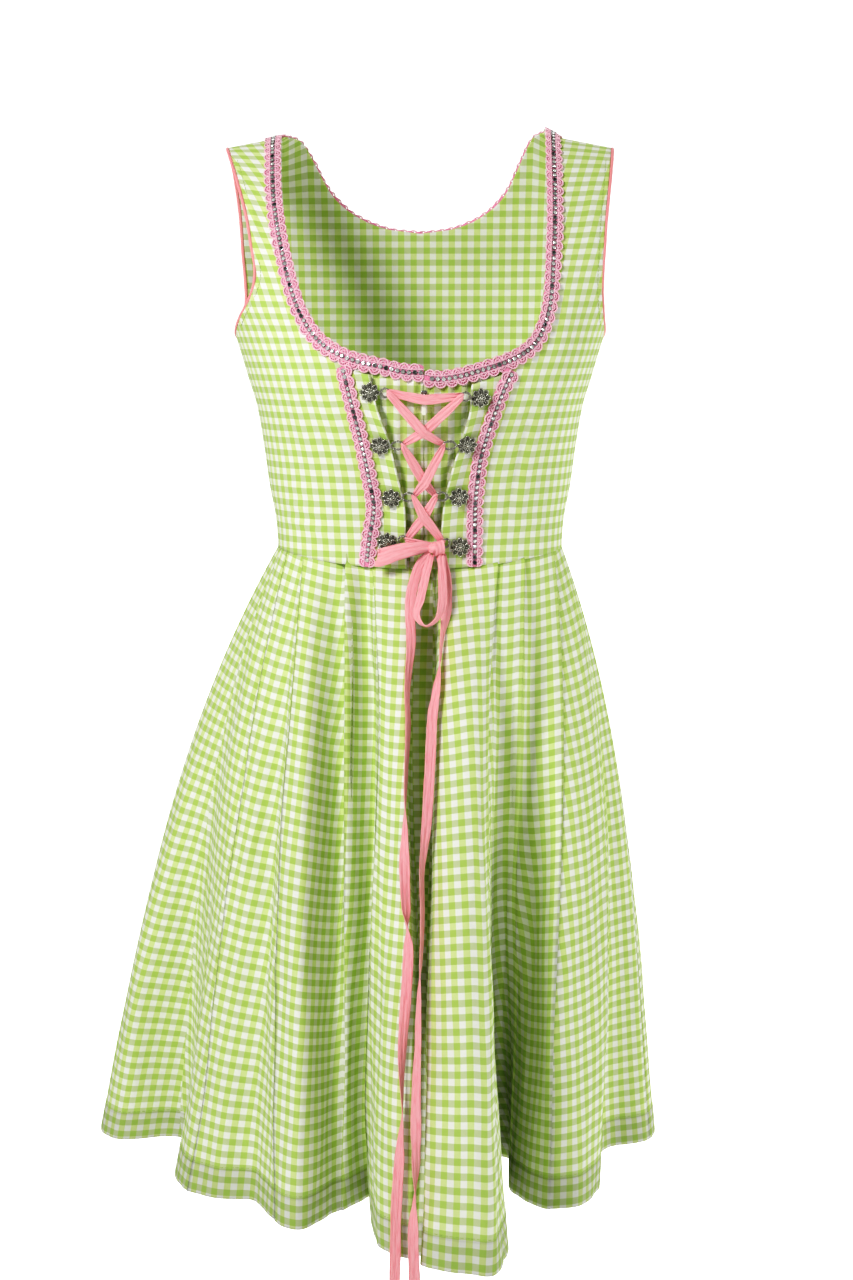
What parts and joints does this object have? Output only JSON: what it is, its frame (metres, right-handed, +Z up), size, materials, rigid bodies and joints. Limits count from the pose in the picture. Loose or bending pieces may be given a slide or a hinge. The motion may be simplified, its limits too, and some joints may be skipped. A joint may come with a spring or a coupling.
{
  "type": "dirndl dress",
  "caption": "Sleeveless laced dirndl dress in its hollow worn shape, with scooped neck, braid trim, hook-and-chain lacing, ribbon bow and a pleated, flared skirt.",
  "frame": {"origin": "on the wearer's shoulder line, halfway between the two straps, at the height where the straps rest on the shoulders", "axes": "+Z up along the wearer, -Y the front of the dress, +X the wearer's left"},
  "size_m": [0.4452, 0.5276, 0.8117],
  "materials": {
    "gingham": "matt woven cotton check in light green and white",
    "braid": "crocheted braid",
    "ribbon": "soft narrow ribbon",
    "piping": "satin bias piping",
    "silver": "antique silver, polished on the high points",
    "zip_metal": "satin metal",
    "zip_enamel": "white enamel"
  },
  "bodies": {
    "dress": {"bodice_back": "gingham", "bodice_front_l": "gingham", "bodice_front_r": "gingham", "bow_hanging_loop": "ribbon", "bow_side_loop": "ribbon", "braid_front_l": "braid", "braid_front_r": "braid", "braid_neck_back": "braid", "braid_neck_l": "braid", "braid_neck_r": "braid", "chain_1_l": "silver", "chain_1_r": "silver", "chain_2_l": "silver", "chain_2_r": "silver", "chain_3_l": "silver", "chain_3_r": "silver", "chain_4_l": "silver", "chain_4_r": "silver", "front_centre_l": "gingham", "front_centre_r": "gingham", "hook_1_l": "silver", "hook_1_r": "silver", "hook_2_l": "silver", "hook_2_r": "silver", "hook_3_l": "silver", "hook_3_r": "silver", "hook_4_l": "silver", "hook_4_r": "silver", "lace_1_over": "ribbon", "lace_1_under": "ribbon", "lace_2_over": "ribbon", "lace_2_under": "ribbon", "lace_3_over": "ribbon", "lace_3_under": "ribbon", "lace_top": "ribbon", "lacing_strip_l": "gingham", "lacing_strip_r": "gingham", "piping_l": "piping", "piping_r": "piping", "ribbon_knot": "ribbon", "ribbon_tail_l": "ribbon", "ribbon_tail_r": "ribbon", "skirt_back": "gingham", "skirt_front": "gingham", "zip_slider": "zip_metal"},
    "zip_pull": {"zip_pull": "zip_enamel"}
  },
  "joints": [
    {"name": "zip_pull_hinge", "type": "hinge", "parent": "dress", "child": "zip_pull", "pos_m": [0.00323, -0.12717, -0.18973], "axis": [-1, 0, 0], "range_deg": [-8, 15]}
  ]
}
